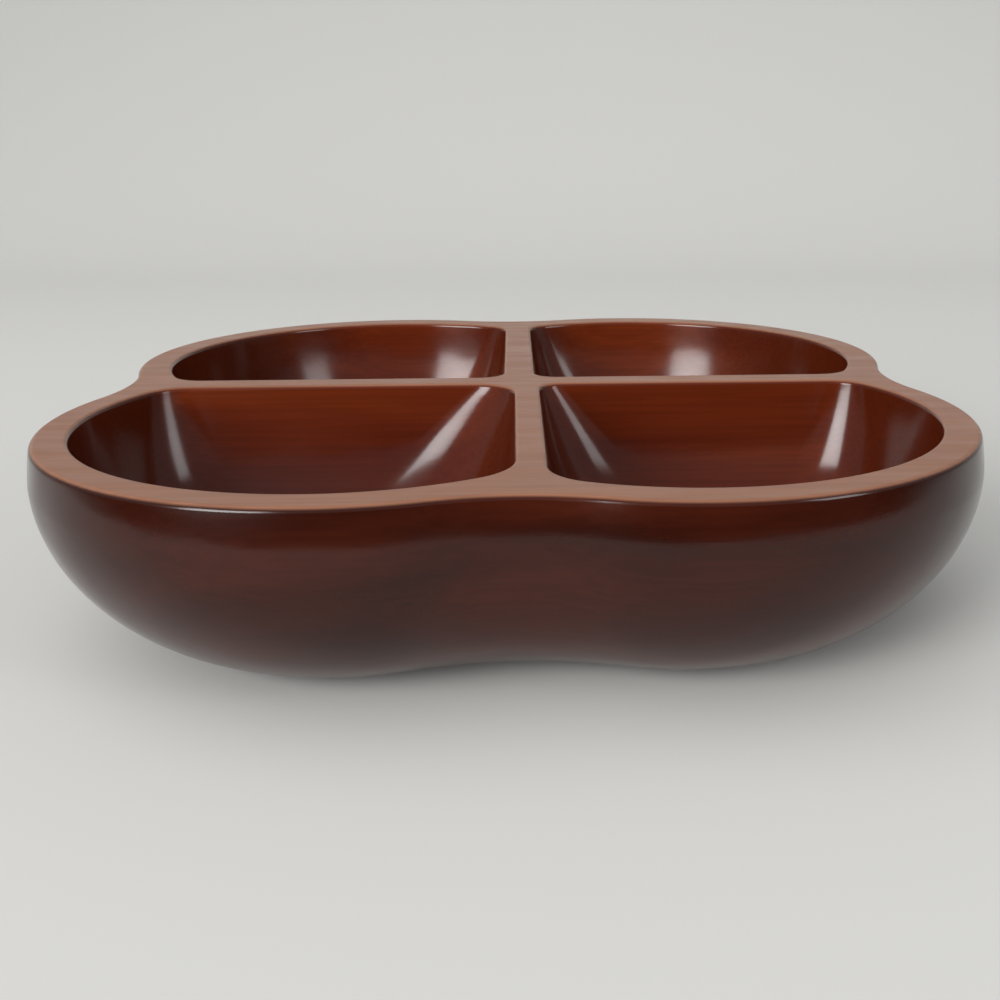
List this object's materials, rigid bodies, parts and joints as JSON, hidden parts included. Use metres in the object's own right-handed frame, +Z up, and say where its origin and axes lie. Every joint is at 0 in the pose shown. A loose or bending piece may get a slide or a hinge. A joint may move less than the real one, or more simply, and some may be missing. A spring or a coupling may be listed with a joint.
{
  "type": "divided serving bowl",
  "caption": "Low carved wooden serving bowl with a lobed outline and a pocket in each lobe, parted by flat-topped dividers level with the rim.",
  "frame": {"origin": "centre of the foot, on the surface that the bowl stands on", "axes": "+Z up out of the pockets, +X to the right along the grain and the cross divider, +Y to the back along the long divider"},
  "size_m": [0.2998, 0.2998, 0.068],
  "materials": {
    "lacquered_wood": "dark red-brown stain under a clear gloss lacquer, rubbed paler along the rim"
  },
  "bodies": {
    "root": {"front_outer_board": "lacquered_wood", "front_inner_board": "lacquered_wood", "centre_board": "lacquered_wood", "rear_inner_board": "lacquered_wood", "rear_outer_board": "lacquered_wood"}
  },
  "joints": []
}
